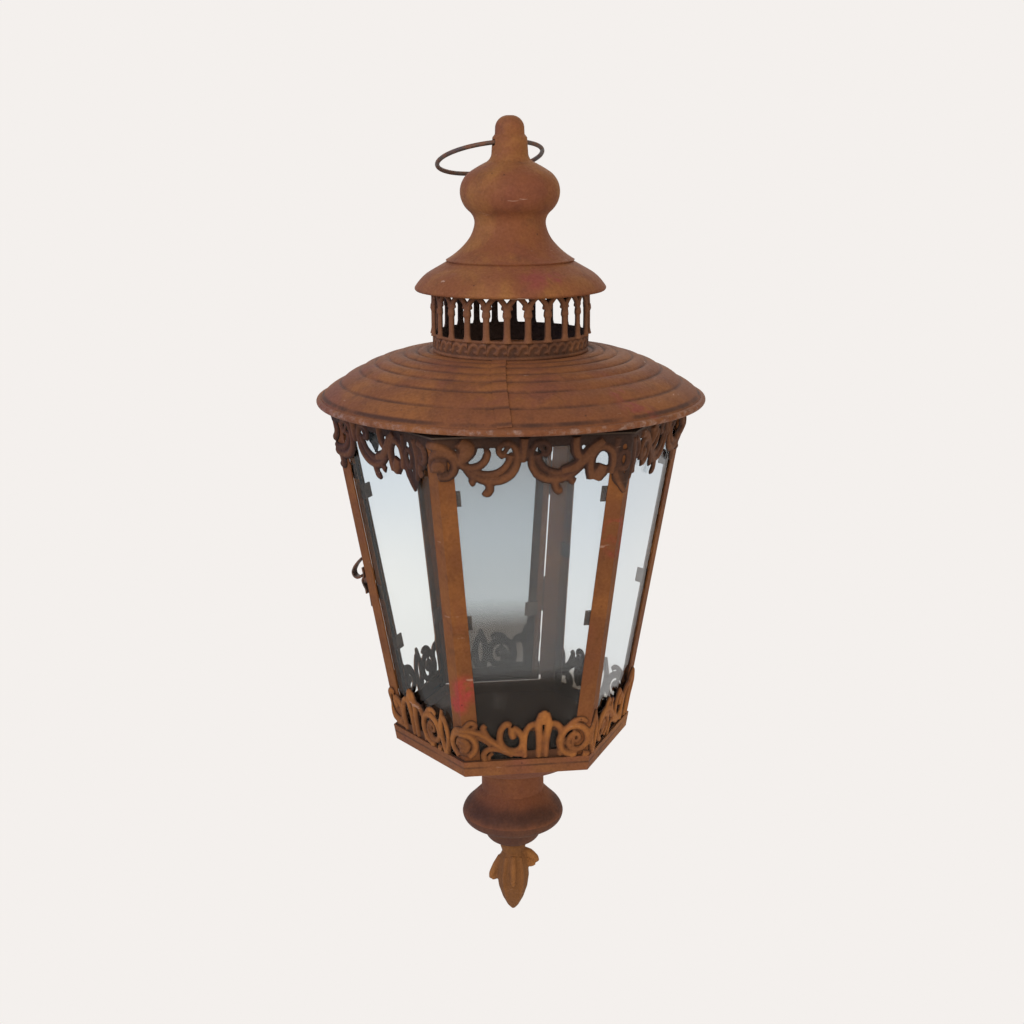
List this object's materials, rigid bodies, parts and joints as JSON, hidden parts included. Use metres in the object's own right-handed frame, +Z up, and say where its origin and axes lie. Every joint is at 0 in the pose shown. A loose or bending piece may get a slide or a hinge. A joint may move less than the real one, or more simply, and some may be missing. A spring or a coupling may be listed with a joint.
{
  "type": "hanging lantern",
  "caption": "Hexagonal glazed hanging lantern of rusted sheet iron with a pierced vent gallery, scroll friezes, a two-pane door, a pendant finial and a wire ring.",
  "frame": {"origin": "middle of the floor's raised round panel, on its upper face, on the lantern's axis", "axes": "+Z up the lantern's axis, the side seen at the front of the picture faces -Y, +X to its right"},
  "size_m": [0.2562, 0.2562, 0.5571],
  "materials": {
    "glass": "clear sheet glass, greenish edges",
    "frieze_rust": "matte rusted sheet, dark brown red",
    "crest_rust": "matte rusted sheet, orange ochre",
    "post_rust": "matte rusted sheet, orange ochre",
    "crown_rust": "matte rusted sheet, reddish brown",
    "roof_rust": "matte rusted sheet, mid brown",
    "gallery_rust": "matte rusted sheet, dark brown",
    "pendant_rust": "matte rusted sheet, chocolate brown",
    "finial_rust": "rusted casting, ochre brown",
    "pan_rust": "matte rusted sheet, worn",
    "dark_wire": "dark iron wire",
    "hidden_rust": "dull rusted iron"
  },
  "bodies": {
    "lantern": {"crown_bulb": "crown_rust", "crown_skirt": "crown_rust", "vent_gallery": "gallery_rust", "roof": "roof_rust", "rim_wire": "roof_rust", "roof_collar": "hidden_rust", "ceiling_plate": "hidden_rust", "post_front_left": "post_rust", "post_front_right": "post_rust", "post_right": "post_rust", "post_back_right": "post_rust", "post_left": "post_rust", "pane_front": "glass", "frieze_front": "frieze_rust", "crest_front": "crest_rust", "pane_front_right": "glass", "frieze_front_right": "frieze_rust", "crest_front_right": "crest_rust", "pane_back_right": "glass", "frieze_back_right": "frieze_rust", "crest_back_right": "crest_rust", "pane_front_left": "glass", "frieze_front_left": "frieze_rust", "crest_front_left": "crest_rust", "glass_tabs": "hidden_rust", "floor_pan": "pan_rust", "soffit_bowl": "pendant_rust", "pendant_cap": "pendant_rust", "pendant_bowl": "pendant_rust", "finial": "finial_rust", "finial_nut": "hidden_rust", "hinge_post_leaves": "hidden_rust", "hinge_pins": "hidden_rust", "latch_plate": "hidden_rust"},
    "door": {"door_post": "post_rust", "door_hinge_stile": "post_rust", "door_latch_stile": "post_rust", "door_foot_rail_back": "post_rust", "door_head_rail_back": "post_rust", "pane_back": "glass", "frieze_back": "frieze_rust", "crest_back": "crest_rust", "door_foot_rail_back_left": "post_rust", "door_head_rail_back_left": "post_rust", "pane_back_left": "glass", "frieze_back_left": "frieze_rust", "crest_back_left": "crest_rust", "door_glass_tabs": "hidden_rust", "hinge_door_leaves": "hidden_rust", "latch_stud": "hidden_rust"},
    "latch": {"latch_hook": "dark_wire"},
    "ring": {"hanging_ring": "dark_wire"}
  },
  "joints": [
    {"name": "ring_swing", "type": "hinge", "parent": "lantern", "child": "ring", "pos_m": [0, 0, 0.3994], "axis": [0.9542, 0.299, 0], "range_deg": [-40, 255]},
    {"name": "door_swing", "type": "hinge", "parent": "lantern", "child": "door", "pos_m": [0.0384, 0.08847, 0.11463], "axis": [-0.0857, -0.1484, -0.9852], "range_deg": [0, 105]},
    {"name": "latch_turn", "type": "hinge", "parent": "lantern", "child": "latch", "pos_m": [-0.09628, 0.00433, 0.112], "axis": [0.8564, -0.4944, 0.1489], "range_deg": [0, 85]}
  ]
}
